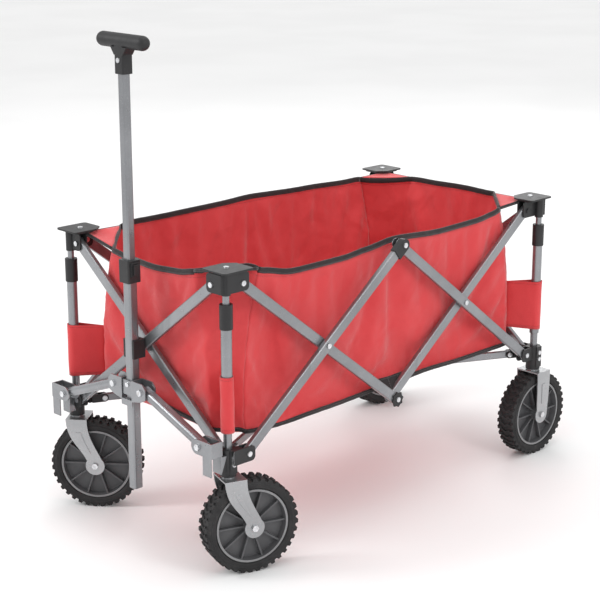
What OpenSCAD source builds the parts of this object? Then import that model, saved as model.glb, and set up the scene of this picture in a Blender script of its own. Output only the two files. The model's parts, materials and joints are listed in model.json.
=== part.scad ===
// Folding utility wagon with a pull handle, millimetres.
// +X is the pulling direction, +Y the wagon's left, +Z up; z = 0 is the ground.
// A scissor frame carries a fabric basket: two crossed bars on each end, four on
// each side. Lower brackets stand on the wheels, upper brackets slide up on rods.

/* [Frame] */
// Horizontal reach of one scissor cross, pivot to pivot
cross_span = 405; // [360:1:460]
// Height of one scissor cross, lower pivot to upper pivot
cross_rise = 313; // [280:1:345]
// Height of the lower pivots above the wheels
pivot_above_wheel = 46; // [42:1:60]
// Side pivots, inboard of the leg axis
side_inset = 33; // [32:0.5:40]
// Free gap between a leg tube and an end bar
end_gap = 2; // [2:0.5:8]

/* [Bars] */
// Depth of a scissor bar
bar_w = 20; // [16:0.5:22]
// Thickness of a scissor bar
bar_t = 11; // [8:0.5:11.5]
// Corner radius of a bar's section
bar_r = 2.5; // [2:0.25:3.5]
// Wall of the steel tubes
tube_wall = 1.2; // [1:0.1:1.6]
// Free gap between two bars that cross
bar_gap = 1.5; // [1:0.1:3]
// Shank diameter of every frame rivet
rivet_d = 6; // [4:0.5:8]

/* [Legs] */
// Outer diameter of the leg tube
leg_d = 20; // [18:0.5:23]
// Wall of the leg's lower stub
stub_wall = 1.05; // [1:0.05:2]
// Diameter of the sliding rod
rod_d = 12.5; // [10:0.25:13]
// Wall of the black collar at the leg's top
collar_wall = 2; // [1.5:0.25:3]
// Distance of the collar's top below the upper pivots
collar_drop = 33; // [30:1:50]

/* [Wheels] */
// Overall wheel diameter, over the tread
wheel_d = 180; // [150:1:180]
// Width of the tyre
tyre_w = 42; // [32:1:46]
// Height of the tyre's section, from the plastic centre to the tread's top
tyre_h = 20; // [18:1:30]
// Trail of the front casters
trail = 39; // [25:1:45]
// Rest heading of the left caster
yaw_left = -19; // [-60:1:60]
// Rest heading of the right caster
yaw_right = -50; // [-60:1:60]
// Axle diameter
axle_d = 8; // [6:0.5:10]

/* [Pull handle] */
// Side of the sliding pull tube
pull_w = 17; // [12:0.5:21]
// Wall of the lower pole tube
pole_wall = 1.2; // [1:0.1:2]
// Pole axis, ahead of the leg axis
pole_ahead = 33; // [32:1:38]
// Height of the pole's swing pivot above the lower frame pivots
hitch_above = 83; // [74:1:95]
// Pole length below its pivot
pole_below = 200; // [150:1:205]
// Pole length above its pivot, up to the collar's top
pole_above = 242; // [220:1:300]
// Height of the grip's axis above the lower pole's collar
grip_above = 392; // [300:1:450]
// Length of the grip
grip_len = 135; // [110:1:160]
// Diameter of the grip
grip_d = 26.5; // [24:0.5:34]

/* [Basket] */
// Height of the basket floor above the lower pivots
floor_above = 12; // [10:1:18]
// Height of the basket rim above the upper pivots
rim_above = 18; // [0:1:19]
// Thickness of the fabric with its lining
cloth_t = 2.5; // [1.5:0.1:3]
// Corner cut of the basket, along each side
corner_cut = 48; // [30:1:70]

/* [Hidden] */
$fn = 48;
clear = 0.3;            // running clearance of sliding and turning fits
pivot_play = 0.2;       // clearance of a rivet in its hole
head_play = 0.1;        // clearance under a rivet head
slot_play = 1;          // clearance round a bar's end in its bracket
plate_t = 2.5;          // pressed bracket plates
pitch = bar_t + bar_gap;
low_pivot_z = wheel_d + pivot_above_wheel;
up_pivot_z = low_pivot_z + cross_rise;
end_inset = leg_d / 2 + end_gap + bar_w / 2;
post_x = cross_span + side_inset;
post_y = cross_span / 2 + end_inset;
bar_len = sqrt(cross_span * cross_span + cross_rise * cross_rise);
bar_angle = atan2(cross_rise, cross_span);
cheek = bar_t / 2 + 0.75 + plate_t;   // half width over a clevis
head_d = rivet_d + 4;
head_t = 2.2;
sleeve_wrap = 2.2;                    // plastic sleeve on a bar's upper end
star_t = 3;                           // star-shaped boss on a bar's lower end

// Basket heights
floor_z = low_pivot_z + floor_above;
rim_z = up_pivot_z + rim_above;

// Lower bracket and leg
rod_bore = rod_d + 2 * clear + 0.3;   // inside of the leg tube
stub_d = rod_bore + 2 * stub_wall;
collar_d = leg_d + 2 * collar_wall;
block_top = low_pivot_z + 14;
block_bottom = wheel_d + 9;
block_d = 30;
pin_d = 10;                           // kingpin
pin_top = block_bottom + 18;
leg_foot_z = floor_z + 31;            // where the tube narrows to the stub
collar_top = up_pivot_z - collar_drop;
collar_len = 45;
rod_bottom = floor_z + 12;
plate_top = up_pivot_z + 27;          // top of the upper brackets
cap_t = 6;
lip_t = 3;                            // thin rim of the upper brackets' top plate

// Wheels and forks
wheel_r = wheel_d / 2;
rim_r = wheel_r - tyre_h;             // plastic wheel centre
tread_h = 3.2;
lug_count = 36;
fork_gap = tyre_w + 10;               // between the fork's plates
fork_t = 2.5;
fork_end_r = 19;
crown_z = wheel_d + 4;

// Pole and hitch
pole_x = post_x + pole_ahead;
pole_w = pull_w + 2 * clear + 2 * pole_wall;
hitch_z = low_pivot_z + hitch_above;
grip_z = hitch_z + pole_above + grip_above;
arm_d = 18;
arm_x = pole_x + 3;
arm_out_y = post_y - 24.5;            // outer pivots of the arms
arm_out_z = low_pivot_z + 22;
arm_in_y = 40;
arm_slot = arm_d / 2 + 1.5;           // half gap between the plates that hold an arm
guide_half = pole_w / 2 + clear + 3.2;

// Floor stays
stay_in_x = 42;
stay_in_y = 34;
stay_z = low_pivot_z - 4;
stay_x = post_x - stay_in_x;
stay_y = post_y - stay_in_y;
stay_angle = atan2(stay_y, stay_x);
stay_end_r = 89.4;                    // inner ends of the stays, from the wagon's centre
stay_len = sqrt(stay_x * stay_x + stay_y * stay_y) - stay_end_r;
stay_t = 8;
stay_w = 16;

// Basket outline, inside the bracket plates and their rivet heads
wall_y = post_y - pitch - cheek - head_t - 1.55;
wall_x = post_x - pitch / 2 - cheek - head_t - 1.3;
seam = 0.5;                           // gap between two panels on different brackets

STEEL = [0.62, 0.64, 0.66];
BLACK = [0.13, 0.13, 0.14];
RED = [0.88, 0.28, 0.30];
GREY = [0.33, 0.33, 0.34];

CORNERS = ["fl", "fr", "rl", "rr"];
SIDES = ["left", "right"];
ENDS = ["front", "rear"];
SIDE_BARS = ["front_up", "front_down", "rear_down", "rear_up"];
CORNER_PARTS = ["leg_tube", "lower_bracket", "inner_rod", "upper_bracket", "fork", "tyre", "hub",
                "floor_stay"];

function is_front(c) = c[0] == "f";
function is_left(c) = c[1] == "l";
// Sideways place of a corner's side bar: the low and the high bar lie in different layers
function low_layer(c) = is_front(c) ? pitch : 0;
function high_layer(c) = is_front(c) ? 0 : -pitch;
// The end bars fall from the left upper bracket to the right lower one on the outside
function low_end_layer(c) = (is_left(c) ? -1 : 1) * pitch / 2;
function high_end_layer(c) = -low_end_layer(c);
function yaw(c) = !is_front(c) ? 0 : is_left(c) ? yaw_left : yaw_right;

// Corner frame: origin on the leg axis, +x and +y pointing out of the wagon
module at_corner(c) {
    translate([is_front(c) ? post_x : -post_x, is_left(c) ? post_y : -post_y, 0])
        mirror([is_front(c) ? 0 : 1, 0, 0]) mirror([0, is_left(c) ? 0 : 1, 0]) children();
}

module rounded_rect(w, h, r) {
    square([w - 2 * r, h], center = true);
    square([w, h - 2 * r], center = true);
    for (x = [-1, 1], y = [-1, 1]) translate([x * (w / 2 - r), y * (h / 2 - r)]) circle(r);
}

module stadium(len, w) {
    translate([0, -w / 2]) square([len, w]);
    circle(d = w);
    translate([len, 0]) circle(d = w);
}

// Rod along +y from y0 to y1
module y_rod(d, y0, y1) translate([0, y0, 0]) rotate([-90, 0, 0]) cylinder(d = d, h = y1 - y0);

// Rivet along y whose heads lie outside y0 and y1
module rivet(y0, y1) {
    y_rod(rivet_d, y0 - head_t / 2, y1 + head_t / 2);
    y_rod(head_d, y0 - head_t, y0);
    y_rod(head_d, y1, y1 + head_t);
}

// ---------- scissor bars ----------

// Flat-sided tube along +x from pivot to pivot, round ends, three rivet holes
module bar(len, w = bar_w, t = bar_t, holes = [0, 0.5, 1]) {
    difference() {
        intersection() {
            rotate([90, 0, 90]) translate([0, 0, -w]) linear_extrude(len + 2 * w)
                rounded_rect(t, w, bar_r);
            translate([0, t, 0]) rotate([90, 0, 0]) linear_extrude(2 * t) stadium(len, w);
        }
        rotate([90, 0, 90]) translate([0, 0, -w]) linear_extrude(len + 2 * w)
            rounded_rect(t - 2 * tube_wall, w - 2 * tube_wall, bar_r - tube_wall + 0.2);
        for (h = holes) translate([len * h, 0, 0]) y_rod(rivet_d + 2 * pivot_play, -t, t);
    }
}

// Puts the x axis on the line that leaves (x, z) at an angle, in the plane at y
module along(x, z, y, angle) translate([x, y, z]) rotate([0, -angle, 0]) children();

// Plastic sleeve on a bar's end: wraps the outer face and both edges
module bar_sleeve(len) {
    reach = 26;
    difference() {
        translate([len - reach, bar_t / 2 + sleeve_wrap, 0]) rotate([90, 0, 0])
            linear_extrude(bar_t + sleeve_wrap - 0.8) stadium_end(reach, bar_w + 2 * sleeve_wrap);
        intersection() {
            translate([len - reach - 1, -bar_t, -bar_w / 2 - 0.1])
                cube([reach + bar_w, bar_t * 1.5 + 0.1, bar_w + 0.2]);
            translate([0, bar_t, 0]) rotate([90, 0, 0]) linear_extrude(2 * bar_t)
                stadium(len, bar_w + 0.2);
        }
        translate([len, 0, 0]) y_rod(rivet_d + 2 * pivot_play, 0, bar_t);
    }
}

// Outline of a sleeve: square at its mouth, round at the bar's end
module stadium_end(len, w) {
    translate([0, -w / 2]) square([len, w]);
    translate([len, 0]) circle(d = w);
}

// Star-shaped boss on the outer face of a bar's end
module star_boss(len) {
    points = 8;
    outer = bar_w / 2 + 6;
    inner = bar_w / 2 + 3;
    translate([len, bar_t / 2 + star_t, 0]) rotate([90, 0, 0]) difference() {
        linear_extrude(star_t - 0.05) polygon([for (i = [0 : 2 * points - 1])
            (i % 2 == 0 ? outer : inner) * [cos(180 / points * i), sin(180 / points * i)]]);
        translate([0, 0, -1]) cylinder(d = rivet_d + 2 * pivot_play, h = 6);
    }
}

// Left side: "up" and "down" say which way a bar goes towards the rear
module side_bar(b) {
    mid = cross_span / 2;
    if (b == "front_up") {
        color(STEEL) along(cross_span, low_pivot_z, post_y + pitch, 180 - bar_angle) bar(bar_len);
        color(BLACK) along(cross_span, low_pivot_z, post_y + pitch, 180 - bar_angle)
            bar_sleeve(bar_len);
        color(STEEL) translate([mid, 0, low_pivot_z + cross_rise / 2])
            rivet(post_y - bar_t / 2 - head_play, post_y + pitch + bar_t / 2 + head_play);
        color(STEEL) translate([0, 0, up_pivot_z])
            rivet(post_y - bar_t / 2 - head_play,
                post_y + pitch + bar_t / 2 + sleeve_wrap + head_play);
    }
    if (b == "front_down") {
        color(STEEL) along(cross_span, up_pivot_z, post_y, 180 + bar_angle) bar(bar_len);
        color(BLACK) along(cross_span, up_pivot_z, post_y, 180 + bar_angle) star_boss(bar_len);
        color(STEEL) translate([0, 0, low_pivot_z])
            rivet(post_y - pitch - bar_t / 2 - head_play, post_y + bar_t / 2 + star_t + head_play);
    }
    if (b == "rear_down") {
        color(STEEL) along(0, up_pivot_z, post_y, 180 + bar_angle) bar(bar_len);
        color(STEEL) translate([-mid, 0, low_pivot_z + cross_rise / 2])
            rivet(post_y - pitch - bar_t / 2 - head_play, post_y + bar_t / 2 + head_play);
    }
    if (b == "rear_up")
        color(STEEL) along(0, low_pivot_z, post_y - pitch, 180 - bar_angle) bar(bar_len);
}

// Front end, seen from ahead: the outer bar falls to the wagon's right
module end_bar(b) {
    x = post_x + (b == "outer" ? pitch / 2 : -pitch / 2);
    start = b == "outer" ? up_pivot_z : low_pivot_z;
    rise = b == "outer" ? bar_angle : -bar_angle;
    color(STEEL) translate([x, 0, 0]) rotate([0, 0, 90])
        along(cross_span / 2, start, 0, 180 + rise) bar(bar_len);
}

// The crossing rivet of an end also carries the pole clip at the front
module end_rivet(reach) {
    color(STEEL) translate([0, 0, low_pivot_z + cross_rise / 2]) rotate([0, 0, -90])
        rivet(post_x - pitch / 2 - bar_t / 2 - head_play, post_x + pitch / 2 + bar_t / 2 + reach);
}

// ---------- corner posts ----------

module leg_tube(c) {
    seat = collar_len * 0.65;
    at_corner(c) {
        color(STEEL) difference() {
            union() {
                translate([0, 0, leg_foot_z])
                    cylinder(d = leg_d, h = collar_top - collar_len + seat - leg_foot_z);
                translate([0, 0, block_top - 26]) cylinder(d = stub_d, h = leg_foot_z - block_top + 27);
            }
            translate([0, 0, block_top - 1]) cylinder(d = rod_bore, h = collar_top);
        }
        color(BLACK) difference() {
            translate([0, 0, collar_top - collar_len]) cylinder(d = collar_d, h = collar_len);
            translate([0, 0, collar_top - collar_len - 1]) cylinder(d = leg_d + 0.2, h = seat + 1);
            translate([0, 0, 0]) cylinder(d = rod_bore, h = collar_top + 1);
        }
    }
}

module inner_rod(c) {
    at_corner(c) color(STEEL) translate([0, 0, rod_bottom]) linear_extrude(plate_top - cap_t - rod_bottom)
        difference() {
            circle(d = rod_d);
            circle(d = rod_d - 2 * tube_wall);
        }
}

// Two plates that hold a bar end between them, reaching -x; the bar's plane is at y
module clevis(inset, y, z0, z1, tip = 14) {
    h = z1 - z0;
    r = 8;
    for (s = [-1, 1]) translate([0, y + s * (cheek - plate_t / 2) + plate_t / 2, 0])
        rotate([90, 0, 0]) linear_extrude(plate_t) {
            translate([-inset - tip + r, z0]) square([inset + tip - r, h]);
            translate([-inset - tip, z0 + r]) square([r + 1, h - 2 * r]);
            for (z = [z0 + r, z1 - r]) translate([-inset - tip + r, z]) circle(r);
        }
    translate([-(inset - bar_w / 2 - 4), y - cheek, z0]) cube([inset - bar_w / 2, 2 * cheek, h]);
}

// The end clevis is the side clevis turned towards the other end bar
module end_clevis(inset, x, z0, z1) rotate([0, 0, 90]) clevis(inset, -x, z0, z1, 12);

module stay_lug() {
    half = stay_t / 2 + 0.8 + plate_t;
    translate([-stay_in_x, -stay_in_y, 0]) rotate([0, 0, stay_angle]) {
        for (s = [-1, 1]) translate([0, s * (half - plate_t / 2), stay_z]) rotate([90, 0, 0])
            translate([0, 0, -plate_t / 2]) linear_extrude(plate_t) {
                circle(d = stay_w);
                translate([0, -stay_w / 2]) square([25, stay_w]);
            }
        translate([13, -half, stay_z - stay_w / 2]) cube([12, 2 * half, stay_w]);
    }
    bar_side = (pitch + bar_t) / 2;
    translate([-26, -26, stay_z - stay_w / 2]) cube([26 - bar_side - 0.75, 19, stay_w]);
    translate([-bar_side - 9.25, -9, stay_z - stay_w / 2]) cube([bar_side + 1.25, 12, stay_w]);
}

// Room in a bracket for the round end of a side bar, from z0 to z1
module side_slot(y, z0, z1) {
    reach = side_inset - bar_w / 2 - slot_play;
    translate([-side_inset - 30, y - bar_t / 2 - 0.75, z0])
        cube([side_inset + 30 - reach, bar_t + 1.5, z1 - z0]);
}

// Room in a bracket for the round end of an end bar, from z0 to z1
module end_slot(x, z0, z1) {
    reach = end_inset - bar_w / 2 - slot_play;
    translate([x - bar_t / 2 - 0.75, -end_inset - 30, z0])
        cube([bar_t + 1.5, end_inset + 30 - reach, z1 - z0]);
}

// Steel channel on a front corner for the outer end of a hitch arm
module arm_channel() {
    inboard = post_y - arm_out_y;
    for (x = [-arm_slot - plate_t, arm_slot]) translate([arm_x - post_x + x, 0, 0])
        rotate([90, 0, 90]) linear_extrude(plate_t) difference() {
            union() {
                translate([-inboard - 4, arm_out_z - 14]) square([inboard + 16, 28]);
                translate([-inboard - 4, arm_out_z]) circle(14);
                translate([-12, block_bottom + 10]) square([22, arm_out_z - block_bottom - 10]);
            }
            translate([-inboard, arm_out_z]) circle(d = axle_d + 0.4);
        }
    translate([arm_x - post_x - arm_slot - plate_t, 9.5, arm_out_z - 14])
        cube([2 * (arm_slot + plate_t), plate_t, 28]);
    translate([block_d / 2 - 4, -12, block_bottom + 12])
        cube([arm_x - post_x - arm_slot - block_d / 2 + 4, 22, 30]);
}

module lower_bracket(c) {
    stay_half = stay_t / 2 + 0.8 + plate_t;
    at_corner(c) {
        color(BLACK) difference() {
            union() {
                translate([0, 0, block_bottom]) cylinder(d = block_d, h = block_top - block_bottom);
                translate([-8, 0, block_bottom + 6])
                    cube([16, block_d / 2 + 1, block_top - block_bottom - 6]);
                clevis(side_inset, low_layer(c), low_pivot_z - 14, block_top);
                end_clevis(end_inset, low_end_layer(c), low_pivot_z - 14, block_top);
                stay_lug();
            }
            translate([0, 0, block_bottom - 1]) cylinder(d = pin_d + 0.6, h = pin_top - block_bottom + 2);
            translate([0, 0, block_top - 26]) cylinder(d = stub_d, h = 30);
            end_slot(low_end_layer(c), low_pivot_z - bar_w / 2 - 2, block_top + 1);
            translate([-side_inset, 0, low_pivot_z])
                y_rod(rivet_d, low_layer(c) - cheek - 1, low_layer(c) + cheek + 1);
            translate([low_end_layer(c), -end_inset, low_pivot_z]) rotate([0, 0, -90])
                y_rod(rivet_d, -cheek - 1, cheek + 1);
            translate([-stay_in_x, -stay_in_y, stay_z]) rotate([0, 0, stay_angle])
                y_rod(rivet_d, -stay_half - 1, stay_half + 1);
        }
        color(STEEL) {
            translate([-side_inset, 0, low_pivot_z]) rivet(low_layer(c) - cheek, low_layer(c) + cheek);
            translate([low_end_layer(c), -end_inset, low_pivot_z]) rotate([0, 0, -90])
                rivet(-cheek, cheek);
            translate([-stay_in_x, -stay_in_y, stay_z]) rotate([0, 0, stay_angle])
                rivet(-stay_half, stay_half);
            for (z = [block_top - 13, block_top - 27]) translate([0, 0, z])
                y_rod(head_d - 1, block_d / 2 + 1, block_d / 2 + 1 + head_t);
        }
        if (is_front(c)) color(STEEL) {
            arm_channel();
            translate([arm_x - post_x, -(post_y - arm_out_y), arm_out_z]) rotate([0, 0, -90])
                bolt(-arm_slot - plate_t, arm_slot + plate_t);
        }
    }
}

// Bolt along y with a hexagonal head and nut outside y0 and y1
module bolt(y0, y1) {
    y_rod(axle_d, y0 - 1, y1 + 1);
    translate([0, y0 - 4, 0]) rotate([-90, 0, 0]) cylinder(d = 13, h = 4, $fn = 6);
    translate([0, y1, 0]) rotate([-90, 0, 0]) cylinder(d = 13, h = 4, $fn = 6);
}

module upper_bracket(c) {
    skirt_bottom = up_pivot_z - 14;
    under_cap = plate_top - cap_t;
    socket_d = rod_d + 5;
    at_corner(c) {
        color(BLACK) difference() {
            union() {
                translate([0, 0, under_cap]) linear_extrude(cap_t) cap_outline(12, 12);
                translate([0, 0, plate_top - lip_t]) linear_extrude(lip_t) cap_outline(19, 17);
                translate([0, 0, skirt_bottom - 3]) cylinder(d = socket_d, h = under_cap - skirt_bottom + 3);
                clevis(side_inset, high_layer(c), skirt_bottom, under_cap);
                end_clevis(end_inset, high_end_layer(c), skirt_bottom, under_cap);
            }
            translate([0, 0, skirt_bottom - 4]) cylinder(d = rod_d, h = under_cap - skirt_bottom + 4);
            side_slot(high_layer(c), skirt_bottom - 4, up_pivot_z + bar_w / 2 + 2);
            end_slot(high_end_layer(c), skirt_bottom - 4, up_pivot_z + bar_w / 2 + 2);
            translate([-side_inset, 0, up_pivot_z])
                y_rod(rivet_d, high_layer(c) - cheek - 1, high_layer(c) + cheek + 1);
            translate([high_end_layer(c), -end_inset, up_pivot_z]) rotate([0, 0, -90])
                y_rod(rivet_d, -cheek - 1, cheek + 1);
        }
        color(STEEL) {
            translate([-side_inset, 0, up_pivot_z]) rivet(high_layer(c) - cheek, high_layer(c) + cheek);
            translate([high_end_layer(c), -end_inset, up_pivot_z]) rotate([0, 0, -90])
                rivet(-cheek, cheek);
            translate([-14, -14, plate_top]) cylinder(d = head_d, h = head_t);
        }
    }
}

// Plan of an upper bracket's top plate: a rounded square with its inner corner cut
module cap_outline(lip, past) {
    reach = [side_inset + past, end_inset + past + 4];
    r = 7;
    difference() {
        translate([(lip - reach[0]) / 2, (lip - reach[1]) / 2])
            rounded_rect(reach[0] + lip, reach[1] + lip, r);
        polygon([[-reach[0] - 1, -reach[1] - 1], [-reach[0] - 1, -reach[1] + 16],
                 [-reach[0] + 20, -reach[1] - 1]]);
    }
}

// ---------- wheels ----------

// Cubic curve through its two end points
function bezier(p, t) = p[0] * pow(1 - t, 3) + 3 * p[1] * t * pow(1 - t, 2)
    + 3 * p[2] * t * t * (1 - t) + p[3] * pow(t, 3);

// Side view of a fork leg: curved edges from the crown down to the round axle end.
// inner > 0 gives the narrower stiffening rib
module fork_outline(back, inner = 0) {
    steps = 10;
    front = [[17 - inner, crown_z], [15 - inner, crown_z - 45], [fork_end_r - 2 - back * 0.75 - inner,
             wheel_r + 38], [fork_end_r - 4 - back - inner, wheel_r + 8]];
    rear = [[-25 + inner, crown_z], [-25 + inner, crown_z - 40], [-22 - back * 0.6 + inner,
            wheel_r + 34], [-fork_end_r - back + inner, wheel_r]];
    polygon(concat([for (i = [0 : steps]) bezier(front, i / steps)],
                   [for (i = [steps : -1 : 0]) bezier(rear, i / steps)]));
    if (inner == 0) translate([-back, wheel_r]) circle(fork_end_r);
}

// Where the wheel stands under its fork: behind the kingpin on a caster
function wheel_back(c) = is_front(c) ? trail : 0;

module at_wheel(c) {
    translate([is_front(c) ? post_x : -post_x, is_left(c) ? post_y : -post_y, 0])
        rotate([0, 0, yaw(c)]) children();
}

module fork(c) {
    back = wheel_back(c);
    at_wheel(c) color(STEEL) {
        for (s = [-1, 1]) {
            y = s * (fork_gap + fork_t) / 2;
            difference() {
                translate([0, y + fork_t / 2, 0]) rotate([90, 0, 0]) linear_extrude(fork_t)
                    fork_outline(back);
                translate([-back, 0, wheel_r]) y_rod(axle_d, -fork_gap, fork_gap);
            }
            intersection() {
                translate([0, y + s * (fork_t / 2 + 0.6) + 0.6, 0]) rotate([90, 0, 0])
                    linear_extrude(1.2) fork_outline(back, 15);
                translate([-100, -50, wheel_r + 25]) cube([200, 100, crown_z - wheel_r - 50]);
            }
        }
        difference() {
            translate([-25, -fork_gap / 2 - fork_t, crown_z - 1])
                cube([42, fork_gap + 2 * fork_t, fork_t + 0.5]);
            translate([0, 0, crown_z - 2]) cylinder(d = pin_d, h = 6);
        }
        translate([0, 0, crown_z + fork_t - 0.5]) difference() {
            cylinder(d = 25, h = block_bottom - crown_z - fork_t + 0.2);
            translate([0, 0, -1]) cylinder(d = pin_d, h = 9);
        }
        translate([0, 0, crown_z - 2.5]) cylinder(d = pin_d, h = pin_top - crown_z + 2.5);
        translate([-back, 0, wheel_r]) bolt(-fork_gap / 2 - fork_t, fork_gap / 2 + fork_t);
    }
}

// Toothed ring: trapezoid lugs round the shoulder of a tyre
module lug_ring(r0, r1, phase) {
    step = 360 / lug_count;
    difference() {
        polygon([for (i = [0 : lug_count - 1], k = [[0, r0], [0.12, r1], [0.56, r1], [0.68, r0]])
            k[1] * [cos((i + k[0] + phase) * step), sin((i + k[0] + phase) * step)]]);
        circle(rim_r + 6);
    }
}

module tyre(c) {
    base = wheel_r - tread_h;
    half = tyre_w / 2;
    at_wheel(c) translate([-wheel_back(c), 0, wheel_r]) rotate([90, 0, 0]) color(BLACK) {
        rotate_extrude() polygon([[rim_r, -half + 5], [rim_r + 3, -half + 1], [rim_r + 8, -half],
            [base - 5, -half + 1], [base - 1, -half + 4], [base, -half + 8], [base, half - 8],
            [base - 1, half - 4], [base - 5, half - 1], [rim_r + 8, half], [rim_r + 3, half - 1],
            [rim_r, half - 5]]);
        for (s = [0, 1]) translate([0, 0, s == 0 ? -half + 1.5 : half - 10.5])
            linear_extrude(9) lug_ring(base - 1.5, wheel_r, s / 2);
    }
}

module hub(c) {
    half = tyre_w / 2 - 4;
    boss = (fork_gap - 1) / 2;
    ribs = 10;
    at_wheel(c) translate([-wheel_back(c), 0, wheel_r]) rotate([90, 0, 0]) color(GREY) difference() {
        union() {
            rotate_extrude() polygon([[axle_d, -boss], [15, -boss], [16, -6], [22, -4],
                [rim_r - 6, -4], [rim_r - 4, -half - 1.5], [rim_r - 0.15, -half - 1.5],
                [rim_r - 0.15, half + 1.5], [rim_r - 4, half + 1.5], [rim_r - 6, 4], [22, 4], [16, 6],
                [15, boss], [axle_d, boss]]);
            for (i = [0 : ribs - 1]) rotate([0, 0, 360 / ribs * i]) translate([14, -1.5, -half + 3])
                cube([rim_r - 18.5, 3, 2 * half - 6]);
            cylinder(d = 2 * axle_d + 1, h = 2 * boss, center = true);
        }
        cylinder(d = axle_d + 2 * clear, h = 2 * boss + 2, center = true);
    }
}

// ---------- pull handle ----------

module square_tube(w, bore, z0, z1, r) {
    translate([pole_x, 0, z0]) linear_extrude(z1 - z0) difference() {
        rounded_rect(w, w, r);
        rounded_rect(bore, bore, r * 0.75);
    }
}

module pole_tube() {
    color(STEEL) square_tube(pole_w, pull_w + 2 * clear, hitch_z - pole_below,
                             hitch_z + pole_above - 4, 4.5);
}

module pole_collar() {
    side = pole_w + 9;
    top = hitch_z + pole_above;
    color(BLACK) difference() {
        union() {
            translate([pole_x, 0, top - 42]) linear_extrude(42) rounded_rect(side, side, 3);
            translate([pole_x - 9, side / 2 - 1, top - 30]) cube([18, 4, 26]);
        }
        translate([pole_x, 0, top - 43]) linear_extrude(39) rounded_rect(pole_w + 0.2, pole_w + 0.2, 4.5);
        translate([pole_x, 0, top - 5]) linear_extrude(6)
            rounded_rect(pull_w + 2 * clear, pull_w + 2 * clear, 3.5);
        translate([pole_x - 6.3, side / 2 - 2, top - 27.3]) cube([12.6, 7, 20.6]);
    }
}

// Spring button that locks the pull tube; it travels into the collar
module lock_button() {
    side = pole_w + 9;
    top = hitch_z + pole_above;
    color(BLACK) translate([pole_x - 6, side / 2 + 1.5, top - 27]) cube([12, 5, 20]);
}

module pull_tube() {
    color(STEEL) square_tube(pull_w, pull_w - 3, hitch_z + pole_above - 119, grip_z - 26, 4);
}

module grip() {
    neck_top = grip_z - 6;
    neck_bottom = grip_z - 57;
    half = (grip_len - grip_d) / 2;
    color(BLACK) difference() {
        union() {
            translate([pole_x, 0, grip_z]) {
                y_rod(grip_d, -half, half);
                for (s = [-1, 1]) translate([0, s * half, 0]) sphere(d = grip_d);
            }
            translate([pole_x, 0, neck_bottom]) linear_extrude(neck_top - neck_bottom)
                rounded_rect(pull_w + 6, pull_w + 8, 4);
            translate([pole_x - pull_w / 2 - 3, 0, neck_top - 18]) rotate([90, 0, 90])
                linear_extrude(pull_w + 6) polygon([[-12, 0], [12, 0], [22, 14], [-22, 14]]);
        }
        translate([pole_x, 0, neck_bottom - 1]) linear_extrude(grip_z - 26 - neck_bottom + 1)
            rounded_rect(pull_w + 0.1, pull_w + 0.1, 4);
    }
    color(STEEL) translate([pole_x + pull_w / 2 + 3, 0, neck_bottom + 24]) rotate([0, 90, 0])
        cylinder(d = 9, h = 2);
}

// C-shaped keeper on the front crossing; the pole swings out of its open front
module pole_clip() {
    half = pole_w / 2 + 0.4;
    back = post_x + pitch / 2 + bar_t / 2 + 2.2;
    z = low_pivot_z + cross_rise / 2;
    color(BLACK) difference() {
        translate([back, -half - 4.5, z - 17.5]) cube([pole_x + pole_w / 2 - 2 - back, 2 * half + 9, 35]);
        translate([pole_x - half, -half, z - 18.5]) cube([pole_w + 2, 2 * half, 37]);
        translate([back - 1, 0, z]) rotate([0, 90, 0]) cylinder(d = rivet_d + 2 * pivot_play, h = 20);
        translate([back + 3, 0, z]) rotate([0, 90, 0]) cylinder(d = head_d + 1, h = 20);
    }
}

// Square sleeve that turns in the hitch bracket and lets the pole slide
module pole_guide() {
    half = guide_half;
    color(STEEL) difference() {
        translate([pole_x - half, -half, hitch_z - 14]) cube([2 * half, 2 * half, 28]);
        translate([pole_x, 0, hitch_z - 15]) linear_extrude(30)
            rounded_rect(pole_w + 2 * clear, pole_w + 2 * clear, 4);
        translate([pole_x, 0, hitch_z]) y_rod(axle_d + 2 * clear, -half - 1, half + 1);
    }
    color(STEEL) translate([pole_x + half, 0, hitch_z + 6]) rotate([0, 90, 0]) cylinder(d = 9, h = 2);
}

// Steel bracket between the arms: plates before and behind each arm end, cheeks beside the pole
module hitch_bracket() {
    cheek_in = guide_half + 1;
    wide = arm_in_y + 14;
    x_front = arm_x + arm_slot;
    x_back = arm_x - arm_slot - plate_t;
    color(STEEL) {
        for (s = [-1, 1]) mirror([0, s < 0 ? 1 : 0, 0]) {
            difference() {
                union() {
                    for (x = [x_front, x_back]) translate([x, 0, 0]) rotate([90, 0, 90])
                        linear_extrude(plate_t) polygon([[cheek_in, hitch_z + 17], [wide - 8, hitch_z + 17],
                            [wide, hitch_z + 8], [wide, hitch_z - 12], [wide - 14, hitch_z - 19],
                            [cheek_in, hitch_z - 24]]);
                    translate([x_back, cheek_in, hitch_z - 24])
                        cube([x_front + plate_t - x_back, plate_t, 41]);
                }
                translate([pole_x, 0, hitch_z]) y_rod(axle_d, cheek_in - 1, cheek_in + plate_t + 1);
            }
            translate([pole_x, 0, hitch_z]) {
                y_rod(axle_d, pole_w / 2 + 0.8, cheek_in + plate_t + 1);
                y_rod(12, cheek_in + plate_t, cheek_in + plate_t + 3);
            }
            for (x = [[x_front + plate_t, 3.5], [x_back - 3.5, 3.5]]) translate([x[0], arm_in_y, hitch_z])
                rotate([0, 90, 0]) cylinder(d = 13, h = x[1], $fn = 6);
        }
        translate([x_front, -cheek_in - 1, hitch_z - 34]) cube([plate_t, 2 * cheek_in + 2, 12]);
    }
}

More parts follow.
